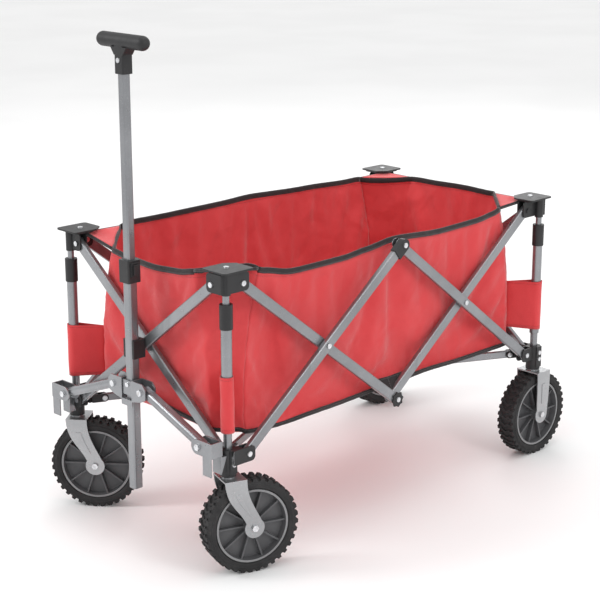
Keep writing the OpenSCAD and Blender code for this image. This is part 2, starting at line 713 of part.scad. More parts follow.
// Round arm between a front corner and the hitch bracket, its ends flattened in the slots
module hitch_arm(s) {
    dy = arm_out_y - arm_in_y;
    dz = hitch_z - arm_out_z;
    len = sqrt(dy * dy + dz * dz);
    eye_t = arm_d * 0.7;
    color(STEEL) mirror([0, s == "left" ? 0 : 1, 0]) translate([arm_x, arm_out_y, arm_out_z])
        rotate([0, 0, -90]) rotate([0, -atan2(dz, dy), 0]) difference() {
            union() {
                translate([6, 0, 0]) rotate([0, 90, 0]) cylinder(d = arm_d, h = len - 12);
                for (x = [0, len]) translate([x, 0, 0]) y_rod(arm_d - 1, -eye_t / 2, eye_t / 2);
                translate([0, -eye_t / 2, -arm_d / 2 + 0.5]) cube([len, eye_t, arm_d - 1]);
            }
            for (x = [0, len]) translate([x, 0, 0]) y_rod(axle_d + 2 * clear, -arm_d, arm_d);
        }
}

// ---------- basket ----------

module floor_stay(c) {
    at_corner(c) color(STEEL) translate([-stay_in_x, -stay_in_y, stay_z])
        rotate([0, 0, 180 + stay_angle]) bar(stay_len, stay_w, stay_t, [0, 1]);
}

module wall_side() {
    color(RED) translate([-wall_x + corner_cut, wall_y - cloth_t, floor_z + cloth_t + seam])
        cube([2 * (wall_x - corner_cut), cloth_t, rim_z - floor_z - cloth_t - seam]);
}

// End panel with its two cut corners, and the flaps that lead from the rim to the brackets
module wall_end() {
    t = cloth_t;
    k = t * 0.414;
    bottom = floor_z + cloth_t + 5.5;
    x1 = wall_x;
    x0 = wall_x - corner_cut + seam;
    y0 = wall_y - corner_cut;
    y1 = wall_y - seam;
    color(RED) {
        translate([0, 0, bottom]) linear_extrude(rim_z - bottom)
            polygon([[x0, y1], [x1, y0], [x1, -y0], [x0, -y1], [x0, -y1 + t * sqrt(2)],
                     [x1 - t, -y0 + k], [x1 - t, y0 - k], [x0, y1 - t * sqrt(2)]]);
        for (s = [-1, 1]) translate([0, 0, rim_z]) linear_extrude(plate_top - cap_t - rim_z)
            polygon([[x0 - 3, s * y1], [x1 - 3, s * y0], [x1, s * y0], [x1, s * y1], [x0, s * y1]]);
    }
}

// Half of the floor, hinged along its side edge
module floor_half() {
    x = wall_x - cloth_t - 0.5;
    y = wall_y - 3;
    cut = corner_cut - 2;
    color(RED) translate([0, 0, floor_z]) linear_extrude(cloth_t)
        polygon([[x, seam], [x, y - cut], [x - cut, y], [-x + cut, y], [-x, y - cut], [-x, seam]]);
}

// ---------- the parts, one node each ----------

for (c = CORNERS) {
    leg_tube(c);
    lower_bracket(c);
    inner_rod(c);
    upper_bracket(c);
    fork(c);
    tyre(c);
    hub(c);
    floor_stay(c);
}
for (s = SIDES) mirror([0, s == "left" ? 0 : 1, 0]) {
    for (b = SIDE_BARS) side_bar(b);
    wall_side();
    floor_half();
}
for (e = ENDS) mirror([e == "front" ? 0 : 1, 0, 0]) {
    end_bar("outer");
    union() {
        end_bar("inner");
        end_rivet(e == "front" ? 5.2 : head_play);
    }
    wall_end();
}
for (s = SIDES) hitch_arm(s);
hitch_bracket();
pole_guide();
pole_tube();
pole_collar();
pull_tube();
grip();
pole_clip();
lock_button();
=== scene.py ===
"""Looks of the folding wagon: materials, the fabric basket, treads, light and camera. Metres, row frame."""

import json
import math

import bpy
import numpy as np
from mathutils import Matrix, Vector


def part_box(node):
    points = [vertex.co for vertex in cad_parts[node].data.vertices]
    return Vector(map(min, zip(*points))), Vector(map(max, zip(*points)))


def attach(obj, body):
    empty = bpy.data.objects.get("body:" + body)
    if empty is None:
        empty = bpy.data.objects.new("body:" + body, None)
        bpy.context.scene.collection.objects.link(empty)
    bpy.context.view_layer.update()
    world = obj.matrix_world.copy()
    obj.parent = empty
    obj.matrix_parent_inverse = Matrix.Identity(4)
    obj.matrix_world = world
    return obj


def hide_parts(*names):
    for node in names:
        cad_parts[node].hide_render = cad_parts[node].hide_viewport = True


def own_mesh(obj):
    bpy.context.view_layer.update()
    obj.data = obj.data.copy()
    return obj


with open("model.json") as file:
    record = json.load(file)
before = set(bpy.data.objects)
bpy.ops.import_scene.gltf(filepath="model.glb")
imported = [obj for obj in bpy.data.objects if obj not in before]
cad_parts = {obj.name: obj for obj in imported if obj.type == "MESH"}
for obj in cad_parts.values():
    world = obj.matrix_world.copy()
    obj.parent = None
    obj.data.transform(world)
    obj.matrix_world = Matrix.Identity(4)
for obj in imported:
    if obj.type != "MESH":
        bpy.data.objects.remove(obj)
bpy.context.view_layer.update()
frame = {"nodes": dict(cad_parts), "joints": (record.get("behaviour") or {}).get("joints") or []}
NODES = frame["nodes"]
JOINTS = {j["name"]: j for j in frame["joints"]}


# ---------------------------------------------------------------- materials

class Mat:
    """Small helper that builds one node material."""

    def __init__(self, name):
        self.mat = bpy.data.materials.new(name)
        self.mat.use_nodes = True
        self.nt = self.mat.node_tree
        self.nt.nodes.clear()
        out = self.nt.nodes.new("ShaderNodeOutputMaterial")
        self.bsdf = self.nt.nodes.new("ShaderNodeBsdfPrincipled")
        self.nt.links.new(self.bsdf.outputs[0], out.inputs[0])
        coords = self.nt.nodes.new("ShaderNodeTexCoord")
        self.obj = coords.outputs["Object"]
        self.uv = coords.outputs["UV"]

    def put(self, socket, value):
        if isinstance(value, bpy.types.NodeSocket):
            self.nt.links.new(value, socket)
        else:
            socket.default_value = value

    def node(self, kind, inputs=(), **attrs):
        n = self.nt.nodes.new(kind)
        for k, v in attrs.items():
            setattr(n, k, v)
        for k, v in dict(inputs).items():
            self.put(n.inputs[k], v)
        return n

    def set(self, **values):
        for k, v in values.items():
            self.put(self.bsdf.inputs[k.replace("_", " ")], v)
        return self

    def math(self, op, a, b=0.0, c=0.0, clamp=False):
        n = self.node("ShaderNodeMath", operation=op, use_clamp=clamp)
        for i, v in enumerate((a, b, c)):
            self.put(n.inputs[i], v)
        return n.outputs[0]

    def noise(self, scale, detail=3.0, rough=0.5, distortion=0.0, vec=None):
        n = self.node("ShaderNodeTexNoise", {"Scale": scale, "Detail": detail, "Roughness": rough,
                                             "Distortion": distortion, "Vector": vec or self.obj})
        return n.outputs[0]

    def stretched(self, scale, factors):
        n = self.node("ShaderNodeMapping", {"Vector": self.obj, "Scale": factors})
        return self.noise(scale, 4.0, 0.6, 0.0, n.outputs[0])

    def ramp(self, fac, stops, smooth=True):
        n = self.node("ShaderNodeValToRGB", {"Fac": fac})
        e = n.color_ramp.elements
        while len(e) < len(stops):
            e.new(0.5)
        for i, (pos, val) in enumerate(stops):
            e[i].position = pos
            e[i].color = (*val, 1) if hasattr(val, "__len__") else (val, val, val, 1)
        n.color_ramp.interpolation = "EASE" if smooth else "LINEAR"
        return n.outputs[0]

    def span(self, fac, a, b):
        """Maps a 0..1 value to a..b."""
        return self.math("MULTIPLY_ADD", fac, b - a, a)

    def mix(self, fac, a, b, blend="MIX"):
        n = self.node("ShaderNodeMix", data_type="RGBA", blend_type=blend)
        self.put(n.inputs["Factor"], fac)
        for key, v in ((6, a), (7, b)):
            self.put(n.inputs[key], (*v, 1) if isinstance(v, tuple) else v)
        return n.outputs[2]

    def bump(self, height, distance, strength=1.0, normal=None):
        n = self.node("ShaderNodeBump", {"Height": height, "Distance": distance, "Strength": strength})
        if normal is not None:
            self.put(n.inputs["Normal"], normal)
        return n.outputs[0]

    def soft_edges(self, radius):
        """Rounded-edge normal, and a mask that is 1 on the outer edges."""
        bevel = self.node("ShaderNodeBevel", {"Radius": radius}, samples=4).outputs[0]
        geo = self.node("ShaderNodeNewGeometry").outputs["Normal"]
        dot = self.node("ShaderNodeVectorMath", operation="DOT_PRODUCT")
        self.put(dot.inputs[0], bevel)
        self.put(dot.inputs[1], geo)
        turned = self.math("SUBTRACT", 1.0, dot.outputs["Value"], clamp=True)
        return bevel, self.ramp(turned, [(0.01, 0.0), (0.12, 1.0)])


def coated_steel(name, dark, light, rough):
    m = Mat(name)
    edge_normal, edge = m.soft_edges(0.0007)
    cloud = m.noise(7.0, 4.0, 0.6)
    speck = m.noise(420.0, 2.0, 0.6)
    base = m.mix(m.ramp(cloud, [(0.3, 0.0), (0.7, 1.0)]), dark, light)
    base = m.mix(m.math("MULTIPLY", m.ramp(speck, [(0.55, 0.0), (0.8, 1.0)]), 0.35), base,
                 tuple(min(1.0, c * 1.5) for c in light))
    scuffs = m.ramp(m.stretched(26.0, (1.0, 1.0, 0.12)), [(0.60, 0.0), (0.72, 1.0)])
    base = m.mix(m.math("MULTIPLY", scuffs, 0.22), base, tuple(c * 0.5 for c in dark))
    # Partly real edge wear, partly a painted highlight: patchy spots on the outer edges are lightened towards
    # a pale grey.
    edge_wear_and_highlight = m.math("MULTIPLY", edge, m.ramp(m.noise(90.0, 4.0, 0.7), [(0.42, 0.0), (0.6, 1.0)]))
    base = m.mix(m.math("MULTIPLY", edge_wear_and_highlight, 0.6), base, (0.62, 0.63, 0.65))
    m.set(Base_Color=base, Metallic=0.78, IOR=1.5, Coat_Weight=0.25, Coat_Roughness=0.18,
          Roughness=m.span(m.noise(55.0, 5.0, 0.65), rough - 0.1, rough + 0.1))
    peel = m.bump(m.noise(1500.0, 2.0, 0.5), 0.00005, 0.5, edge_normal)
    m.set(Normal=m.bump(m.noise(130.0, 3.0, 0.5), 0.00012, 0.35, peel))
    return m.mat


def zinc(name):
    m = Mat(name)
    edge_normal, edge = m.soft_edges(0.0006)
    tone = m.ramp(m.noise(180.0, 5.0, 0.65), [(0.3, (0.52, 0.53, 0.55)), (0.7, (0.82, 0.83, 0.85))])
    tone = m.mix(m.math("MULTIPLY", m.ramp(m.noise(60.0, 3.0), [(0.62, 0.0), (0.75, 1.0)]), 0.35), tone,
                 (0.33, 0.29, 0.24))
    # Painted highlight: the outer edges are lightened towards near white.
    m.set(Base_Color=m.mix(m.math("MULTIPLY", edge, 0.5), tone, (0.9, 0.9, 0.91)), Metallic=1.0,
          Roughness=m.span(m.noise(300.0, 4.0, 0.6), 0.2, 0.42),
          Normal=m.bump(m.noise(900.0, 3.0, 0.6), 0.00006, 0.6, edge_normal))
    return m.mat


def moulded(name, low, high, rough, grain=1700.0, edge_highlight_tone=None):
    m = Mat(name)
    edge_normal, edge = m.soft_edges(0.0008)
    cloud = m.noise(11.0, 4.0, 0.6)
    base = m.mix(m.ramp(cloud, [(0.3, 0.0), (0.72, 1.0)]), low, high)
    dust = m.ramp(m.noise(38.0, 6.0, 0.7), [(0.56, 0.0), (0.8, 1.0)])
    base = m.mix(m.math("MULTIPLY", dust, 0.12), base, (0.22, 0.21, 0.2))
    # Painted highlight: the outer edges are lightened towards a paler tone.
    base = m.mix(m.math("MULTIPLY", edge, 0.35), base, edge_highlight_tone or tuple(c * 2.6 + 0.02 for c in high))
    m.set(Base_Color=base, Specular_IOR_Level=0.42,
          Roughness=m.span(m.noise(70.0, 4.0, 0.6), rough - 0.08, rough + 0.14))
    cells = m.node("ShaderNodeTexVoronoi", {"Vector": m.obj, "Scale": grain}).outputs["Distance"]
    fine = m.bump(cells, 0.00006, 0.55, edge_normal)
    m.set(Normal=m.bump(m.noise(45.0, 3.0, 0.5), 0.00025, 0.25, fine))
    return m.mat


def rubber(name):
    m = Mat(name)
    edge_normal, edge = m.soft_edges(0.0011)
    base = m.mix(m.ramp(m.noise(16.0, 5.0, 0.65), [(0.3, 0.0), (0.7, 1.0)]), (0.017, 0.0165, 0.017),
                 (0.034, 0.033, 0.034))
    dust = m.ramp(m.noise(60.0, 6.0, 0.75), [(0.52, 0.0), (0.78, 1.0)])
    base = m.mix(m.math("MULTIPLY", dust, 0.22), base, (0.13, 0.12, 0.11))
    # Painted highlight: the outer edges of the rubber are lightened towards a mid grey.
    base = m.mix(m.math("MULTIPLY", edge, 0.45), base, (0.085, 0.083, 0.085))
    m.set(Base_Color=base, Specular_IOR_Level=0.3,
          Roughness=m.span(m.noise(80.0, 4.0, 0.6), 0.66, 0.92))
    pores = m.bump(m.noise(900.0, 4.0, 0.7), 0.00014, 0.7, edge_normal)
    m.set(Normal=m.bump(m.noise(120.0, 3.0, 0.6), 0.0003, 0.3, pores))
    return m.mat


def dashes(m, u, v, row, pitch=0.0042, width=0.00055):
    """Mask of a line of stitches that runs along u at v = row."""
    near = m.math("LESS_THAN", m.math("ABSOLUTE", m.math("SUBTRACT", v, row)), width)
    on = m.math("LESS_THAN", m.math("FRACT", m.math("DIVIDE", u, pitch)), 0.68)
    return m.math("MULTIPLY", near, on)


def woven(name, shade, tone, lit, pitch, rows=(), cols=(), crumple=1.0, thread=(0.42, 0.03, 0.035)):
    """Plain weave on a UV map in metres, with lines of stitches at v = rows and u = cols."""
    m = Mat(name)
    sep = m.node("ShaderNodeSeparateXYZ", {"Vector": m.uv})
    u, v = sep.outputs[0], sep.outputs[1]
    su = m.math("SINE", m.math("MULTIPLY", u, math.pi / pitch))
    sv = m.math("SINE", m.math("MULTIPLY", v, math.pi / pitch))
    cu = m.math("COSINE", m.math("MULTIPLY", u, math.pi / pitch))
    cv = m.math("COSINE", m.math("MULTIPLY", v, math.pi / pitch))
    checks = m.math("MULTIPLY", m.math("MULTIPLY", su, cu), m.math("MULTIPLY", sv, cv))
    over = m.math("GREATER_THAN", checks, 0.0)
    warp, weft = m.math("ABSOLUTE", su), m.math("ABSOLUTE", sv)
    h = m.math("ADD", m.math("MULTIPLY", over, warp),
               m.math("MULTIPLY", m.math("SUBTRACT", 1.0, over), weft))
    # Painted light and shade: large cloud patches vary between the base tone and the lit tone, the low parts
    # of the weave go towards the shaded tone, and slubs go towards the lit tone.
    slub = m.noise(260.0, 3.0, 0.6)
    cloud = m.ramp(m.noise(5.5, 5.0, 0.6, 0.4), [(0.28, 0.0), (0.72, 1.0)])
    base = m.mix(cloud, tone, lit)
    base = m.mix(m.math("MULTIPLY", m.math("SUBTRACT", 1.0, h), 0.34), base, shade)
    base = m.mix(m.math("MULTIPLY", m.ramp(slub, [(0.5, 0.0), (0.75, 1.0)]), 0.16), base, lit)
    drift = m.node("ShaderNodeTexNoise", {"Scale": 6.0, "Detail": 2.0, "Vector": m.obj}).outputs["Color"]
    bent = m.node("ShaderNodeVectorMath", operation="MULTIPLY_ADD")
    m.put(bent.inputs[0], drift)
    bent.inputs[1].default_value = (0.16, 0.16, 0.16)
    m.put(bent.inputs[2], m.obj)
    facets = m.node("ShaderNodeTexVoronoi", {"Vector": bent.outputs[0], "Scale": 11.0, "Smoothness": 0.35,
                                             "Detail": 1.0, "Roughness": 0.4},
                    feature="SMOOTH_F1").outputs["Distance"]
    small = m.node("ShaderNodeTexVoronoi", {"Vector": bent.outputs[0], "Scale": 34.0, "Smoothness": 0.5},
                   feature="SMOOTH_F1").outputs["Distance"]
    normal = m.bump(h, 0.00022, 0.55)
    normal = m.bump(m.noise(21.0, 4.0, 0.5, 0.6), 0.004 * crumple, 0.4, normal)
    normal = m.bump(small, 0.0022 * crumple, 0.55, normal)
    normal = m.bump(facets, 0.014 * crumple, 0.62, normal)
    mask = None
    for r in rows:
        d = dashes(m, u, v, r)
        mask = d if mask is None else m.math("MAXIMUM", mask, d)
    for c in cols:
        d = dashes(m, v, u, c)
        mask = d if mask is None else m.math("MAXIMUM", mask, d)
    if mask is not None:
        base = m.mix(mask, base, thread)
        normal = m.bump(mask, 0.0006, 0.8, normal)
    m.set(Base_Color=base, Specular_IOR_Level=0.22, Sheen_Weight=0.28, Sheen_Roughness=0.45,
          Roughness=m.span(m.math("ADD", m.math("MULTIPLY", h, 0.5), m.math("MULTIPLY", slub, 0.5)),
                           0.82, 0.62), Normal=normal)
    return m.mat


STEEL = coated_steel("steel", (0.225, 0.231, 0.243), (0.295, 0.302, 0.316), 0.30)
FORK_STEEL = coated_steel("fork_steel", (0.33, 0.336, 0.346), (0.41, 0.416, 0.426), 0.30)
ZINC = zinc("zinc")
BLACK = moulded("black_plastic", (0.0135, 0.0135, 0.0145), (0.022, 0.022, 0.0235), 0.44)
GRIP = moulded("grip_plastic", (0.011, 0.011, 0.012), (0.018, 0.018, 0.0195), 0.5, 1100.0)
HUB = moulded("hub_plastic", (0.078, 0.078, 0.082), (0.105, 0.105, 0.11), 0.5, 1400.0)
# Painted highlight: a lighter copy of the hub plastic for the hub's rim.
HUB_RIM_HIGHLIGHT = moulded("hub_ring", (0.19, 0.19, 0.195), (0.25, 0.25, 0.255), 0.42, 1400.0)
TYRE = rubber("tyre_rubber")
# Shaded, base and lit tones of the red cloth; the shaded and lit tones are painted shade and painted light.
RED = ((0.37, 0.020, 0.023), (0.65, 0.050, 0.056), (0.74, 0.074, 0.080))
FABRIC = woven("fabric", *RED, 0.0009, rows=(0.0145,))
FLOOR_FABRIC = woven("floor_fabric", *RED, 0.0009, rows=(0.006,), cols=(0.012,), crumple=0.5)
FLAP_FABRIC = woven("flap_fabric", *RED, 0.0009, crumple=0.4)
SLEEVE_FABRIC = woven("sleeve_fabric", *RED, 0.0009, rows=(0.006, 0.098), crumple=0.35)
# Shaded, base and lit tones of the black tape; the shaded and lit tones are painted shade and painted light.
TAPE_TONES = ((0.006, 0.005, 0.005), (0.020, 0.0155, 0.0165), (0.031, 0.025, 0.026))
BINDING = woven("binding", *TAPE_TONES, 0.0011, rows=(0.0022,), crumple=0.25, thread=(0.07, 0.06, 0.062))
WEBBING = woven("webbing", *TAPE_TONES, 0.0016, rows=(0.003,), cols=(0.003, 0.03), crumple=0.2,
                thread=(0.08, 0.07, 0.07))


# ---------------------------------------------------------------- the CAD parts

def face_data(obj):
    me = obj.data
    co = np.empty(len(me.vertices) * 3, np.float32)
    me.vertices.foreach_get("co", co)
    centre = np.empty(len(me.polygons) * 3, np.float32)
    me.polygons.foreach_get("center", centre)
    return co.reshape(-1, 3), centre.reshape(-1, 3)


def paint(obj, mat, mask):
    me = obj.data
    if mat.name not in [m.name for m in me.materials]:
        me.materials.append(mat)
    slot = [m.name for m in me.materials].index(mat.name)
    index = np.empty(len(me.polygons), np.int32)
    me.polygons.foreach_get("material_index", index)
    index[mask] = slot
    me.polygons.foreach_set("material_index", index)


def around(obj, point, axis, radius, reach):
    """Faces that lie wholly within a radius of an axis and beyond reach along it."""
    co, centre = face_data(obj)
    axis = np.array(axis, float) / np.linalg.norm(axis)
    rel = co - np.array(point)
    along = rel @ axis
    off = np.linalg.norm(rel - along[:, None] * axis, axis=1)
    ok = (off <= radius) & (np.abs(along) >= reach)
    return np.array([all(ok[v] for v in p.vertices) for p in obj.data.polygons])


def loose_parts(obj):
    """Per face: the size of the connected piece it belongs to."""
    co, _ = face_data(obj)
    keys = {}
    index = [keys.setdefault(tuple(k), len(keys)) for k in np.round(co * 1e6).astype(int)]
    parent = list(range(len(keys)))

    def root(a):
        while parent[a] != a:
            parent[a] = parent[parent[a]]
            a = parent[a]
        return a
    for p in obj.data.polygons:
        v = [index[i] for i in p.vertices]
        for w in v[1:]:
            a, b = root(v[0]), root(w)
            if a != b:
                parent[a] = b
    pts = {}
    for i, c in enumerate(co):
        pts.setdefault(root(index[i]), []).append(c)
    size = {k: float(np.linalg.norm(np.max(v, 0) - np.min(v, 0))) for k, v in pts.items()}
    return np.array([size[root(index[p.vertices[0]])] for p in obj.data.polygons])


BASE = {"leg_tube": STEEL, "lower_bracket": BLACK, "inner_rod": STEEL, "upper_bracket": BLACK,
        "fork": FORK_STEEL, "tyre": TYRE, "hub": HUB, "floor_stay": STEEL, "hitch_arm": STEEL,
        "hitch_bracket": STEEL, "pole_guide": STEEL, "pole_tube": STEEL, "pole_collar": BLACK,
        "pull_tube": STEEL, "grip": GRIP, "pole_clip": BLACK, "lock_button": BLACK,
        "wall": FABRIC, "floor": FLOOR_FABRIC}
for name, obj in NODES.items():
    mat = next((m for k, m in BASE.items() if name == k or name.startswith(k + "_")), STEEL)
    obj.data.materials.clear()
    obj.data.materials.append(mat)

post_x = sum(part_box("leg_tube_fl")[i].x for i in (0, 1)) / 2
post_y = sum(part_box("leg_tube_fl")[i].y for i in (0, 1)) / 2
low_z = JOINTS["fold"]["pos_m"][2]
top_z = JOINTS["left_top_pivot"]["pos_m"][2]
CORNERS = {"fl": (1, 1), "fr": (1, -1), "rl": (-1, 1), "rr": (-1, -1)}
RIVET = 0.0051                       # a little over the heads' radius
SMALL_PIECE = 0.12                   # a bar's sleeve, boss and rivets are all smaller than this
cross_x = JOINTS["left_front_cross"]["pos_m"][0]
cross_z = (low_z + top_z) / 2

for c, (sx, sy) in CORNERS.items():
    px, py = sx * post_x, sy * post_y
    side_x, end_y = sx * abs(JOINTS["fold"]["pos_m"][0]), sy * (post_y - 0.022)
    leg = NODES["leg_tube_" + c]
    co, centre = face_data(leg)
    radial = np.hypot(centre[:, 0] - px, centre[:, 1] - py)
    paint(leg, BLACK, (radial > 0.0103) | (centre[:, 2] > top_z - 0.034))
    for key, z in (("lower_bracket_", low_z), ("upper_bracket_", top_z)):
        o = NODES[key + c]
        co, centre = face_data(o)
        paint(o, ZINC, around(o, (side_x, py, z), (0, 1, 0), RIVET, 0.003)
              | around(o, (px, end_y, z), (1, 0, 0), RIVET, 0.003))
    o = NODES["upper_bracket_" + c]
    co, centre = face_data(o)
    paint(o, ZINC, centre[:, 2] > top_z + 0.0271)
    o = NODES["lower_bracket_" + c]
    co, centre = face_data(o)
    stay = JOINTS[f"stay_{c}_turn"]
    stay_axis = (-(py - sy * 0.034), px - sx * 0.042, 0)
    paint(o, ZINC, around(o, stay["pos_m"], stay_axis, RIVET, 0.003))
    paint(o, ZINC, (sy * centre[:, 1] > post_y + 0.0161) & (centre[:, 2] < low_z + 0.006)
          & (np.abs(centre[:, 0] - px) < 0.005))
    if sx > 0:
        paint(o, STEEL, centre[:, 0] > post_x + 0.0155)
        hitch_bolt = (0.474, sy * (post_y - 0.0245), low_z + 0.022)
        paint(o, ZINC, around(o, hitch_bolt, (1, 0, 0), 0.0068, 0.0128))
    fork = NODES["fork_" + c]
    spin = JOINTS[f"wheel_{c}_spin"]
    paint(fork, ZINC, around(fork, spin["pos_m"], spin["axis"], 0.0068, 0.0286))
    hub = NODES["hub_" + c]
    co, centre = face_data(hub)
    ax = np.array(spin["axis"], float)
    rel = centre - np.array(spin["pos_m"])
    rad = np.linalg.norm(rel - (rel @ ax)[:, None] * ax, axis=1)
    # The rim faces of the hub get the lighter copy: a painted highlight ring.
    paint(hub, HUB_RIM_HIGHLIGHT, (rad > 0.0655) & (np.abs(rel @ ax) > 0.0178))

for side in ("left", "right"):
    for bar in ("front_up", "front_down", "rear_down"):
        o = NODES[f"{side}_bar_{bar}"]
        sizes = loose_parts(o)
        paint(o, BLACK, sizes < SMALL_PIECE)
        lo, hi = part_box(o.name)
        half = (hi.y - lo.y) / 2
        off_middle = np.abs(np.abs(face_data(o)[1][:, 1]) - (abs(lo.y) + abs(hi.y)) / 2)
        for x, z in ((0, top_z), (0, low_z), (cross_x, cross_z), (-cross_x, cross_z)):
            on_axis = around(o, (x, 0, z), (0, 1, 0), RIVET, 0.0)
            paint(o, ZINC, on_axis & (off_middle > half - 0.0032))
for end in ("front", "rear"):
    o = NODES[f"{end}_bar_inner"]
    paint(o, ZINC, around(o, (0, 0, cross_z), (1, 0, 0), RIVET, 0.0))

pole_x = sum(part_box("pole_tube")[i].x for i in (0, 1)) / 2
hitch_z = JOINTS["pole_swing"]["pos_m"][2]
o = NODES["hitch_bracket"]
co, centre = face_data(o)
paint(o, ZINC, (centre[:, 0] > 0.4871) | (centre[:, 0] < 0.4609)
      | around(o, (pole_x, 0, hitch_z), (0, 1, 0), 0.0064, 0.0171))
o = NODES["pole_guide"]
paint(o, ZINC, face_data(o)[1][:, 0] > pole_x + 0.0136)
o = NODES["grip"]
paint(o, ZINC, around(o, (pole_x, 0, 0.91), (1, 0, 0), 0.0047, 0.011))


# ---------------------------------------------------------------- meshes from grids

def finish_mesh(name, verts, faces, uvs, mat, smooth=True):
    """A mesh object from faces with one UV per vertex."""
    me = bpy.data.meshes.new(name)
    me.from_pydata([tuple(v) for v in verts], [], faces)
    layer = me.uv_layers.new(name="metres")
    loops = np.empty(len(me.loops), np.int32)
    me.loops.foreach_get("vertex_index", loops)
    layer.data.foreach_set("uv", np.asarray(uvs, np.float32)[loops].ravel())
    me.polygons.foreach_set("use_smooth", [smooth] * len(me.polygons))
    me.materials.append(mat)
    me.update()
    o = bpy.data.objects.new(name, me)
    bpy.context.scene.collection.objects.link(o)
    return o


def grid_normals(P, closed=False):
    """Unit normals of a grid of points; the second axis wraps when closed."""
    if closed:
        du = np.roll(P, -1, 1) - np.roll(P, 1, 1)
    else:
        du = np.gradient(P, axis=1)
    dv = np.gradient(P, axis=0)
    n = np.cross(du, dv)
    return n / np.maximum(np.linalg.norm(n, axis=2, keepdims=True), 1e-9)


def sheet(name, P, N, uv, thick, mat):
    """A thin sheet with two faces and closed edges, from a grid of points and normals."""
    r, c = P.shape[:2]
    top, low = P + N * thick / 2, P - N * thick / 2
    verts = np.concatenate([top.reshape(-1, 3), low.reshape(-1, 3)])
    uvs = np.concatenate([uv.reshape(-1, 2)] * 2)
    n = r * c
    faces = []
    for i in range(r - 1):
        for j in range(c - 1):
            a, b, d, e = i * c + j, i * c + j + 1, (i + 1) * c + j + 1, (i + 1) * c + j
            faces.append((a, b, d, e))
            faces.append((n + e, n + d, n + b, n + a))
    ring = [j for j in range(c)] + [i * c + c - 1 for i in range(1, r)] \
        + [(r - 1) * c + j for j in range(c - 2, -1, -1)] + [i * c for i in range(r - 2, 0, -1)]
    for k, a in enumerate(ring):
        b = ring[(k + 1) % len(ring)]
        faces.append((b, a, n + a, n + b))
    return finish_mesh(name, verts, faces, uvs, mat)


def sweep(name, path, section, mat, closed=False):
    """A tape along a path. section holds (sideways, up) points round the path."""
    P = np.array(path, float)
    t = np.roll(P, -1, 0) - np.roll(P, 1, 0)
    if not closed:
        t[0], t[-1] = P[1] - P[0], P[-1] - P[-2]
    t /= np.linalg.norm(t, axis=1, keepdims=True)
    up = np.tile((0.0, 0.0, 1.0), (len(P), 1))
    side = np.cross(t, up)
    side /= np.maximum(np.linalg.norm(side, axis=1, keepdims=True), 1e-9)
    up = np.cross(side, t)
    k = len(section)
    verts, uvs = [], []
    run = 0.0
    steps = [math.dist(section[i], section[i + 1]) for i in range(k - 1)]
    around_len = np.concatenate([[0], np.cumsum(steps)])
    for i, p in enumerate(P):
        if i:
            run += float(np.linalg.norm(P[i] - P[i - 1]))
        for j, (a, b) in enumerate(section):
            verts.append(p + side[i] * a + up[i] * b)
            uvs.append((run, around_len[j]))
    faces = []
    count = len(P) if closed else len(P) - 1
    for i in range(count):
        for j in range(k):
            a, b = i * k + j, i * k + (j + 1) % k
            c, d = ((i + 1) % len(P)) * k + (j + 1) % k, ((i + 1) % len(P)) * k + j
            faces.append((a, b, c, d))
    if not closed:
        faces.append(tuple(range(k - 1, -1, -1)))
        faces.append(tuple((len(P) - 1) * k + j for j in range(k)))
    return finish_mesh(name, verts, faces, uvs, mat)


def smooth_profile(points):
    """Smooth interpolation through (position, value) points."""
    xs, ys = zip(*sorted(points))
    xs, ys = np.array(xs), np.array(ys)

    def f(x):
        x = np.clip(x, xs[0], xs[-1])
        i = np.clip(np.searchsorted(xs, x) - 1, 0, len(xs) - 2)
        t = (x - xs[i]) / (xs[i + 1] - xs[i])
        t = t * t * (3 - 2 * t)
        return ys[i] * (1 - t) + ys[i + 1] * t
    return f


# ---------------------------------------------------------------- the basket

wall_lo, wall_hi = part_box("wall_left")
front_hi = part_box("wall_front")[1]
CLOTH = 0.0012
OUT_Y = wall_hi.y - 0.0008            # middle of the cloth on the sides
OUT_X = front_hi.x - 0.0008
CUT = OUT_X - wall_hi.x
FLOOR_Z = wall_lo.z
RIM_Z = wall_hi.z

# Rim and hem heights, from the front corner to the rear one or from right to left
rim = {
    "left": smooth_profile([(-.40, .556), (-.336, .549), (-.257, .543), (-.15, .541), (-.026, .546),
                            (.06, .539), (.12, .534), (.25, .533), (.336, .546), (.40, .556)]),
    "right": smooth_profile([(-.40, .556), (-.322, .560), (-.166, .566), (-.02, .569), (.118, .568),
                             (.292, .566), (.349, .562), (.40, .556)]),
    "front": smooth_profile([(-.20, .556), (-.174, .552), (-.128, .543), (-.067, .537), (.006, .534),
                             (.077, .538), (.119, .545), (.165, .553), (.20, .556)]),
    "rear": smooth_profile([(-.20, .556), (-.170, .555), (-.08, .562), (.035, .565), (.118, .562),
                            (.20, .556)]),
}
hem = {
    "left": smooth_profile([(-.40, .250), (-.347, .248), (-.2, .247), (-.114, .249), (.0, .244), (.143, .239),
                            (.25, .237), (.36, .244), (.40, .250)]),
    "right": smooth_profile([(-.40, .250), (-.2, .244), (0, .242), (.2, .244), (.40, .250)]),
    "front": smooth_profile([(-.20, .262), (-.15, .270), (.0, .264), (.07, .256), (.14, .248), (.20, .250)]),
    "rear": smooth_profile([(-.20, .250), (0, .247), (.20, .250)]),
}

STEP = 0.0068
columns = []                          # (x, y, outward normal x, y, panel)


def edge(panel, p0, p1, normal):
    n = max(2, round(math.dist(p0, p1) / STEP))
    for i in range(n):
        t = i / n
        columns.append((p0[0] + (p1[0] - p0[0]) * t, p0[1] + (p1[1] - p0[1]) * t, *normal, panel))


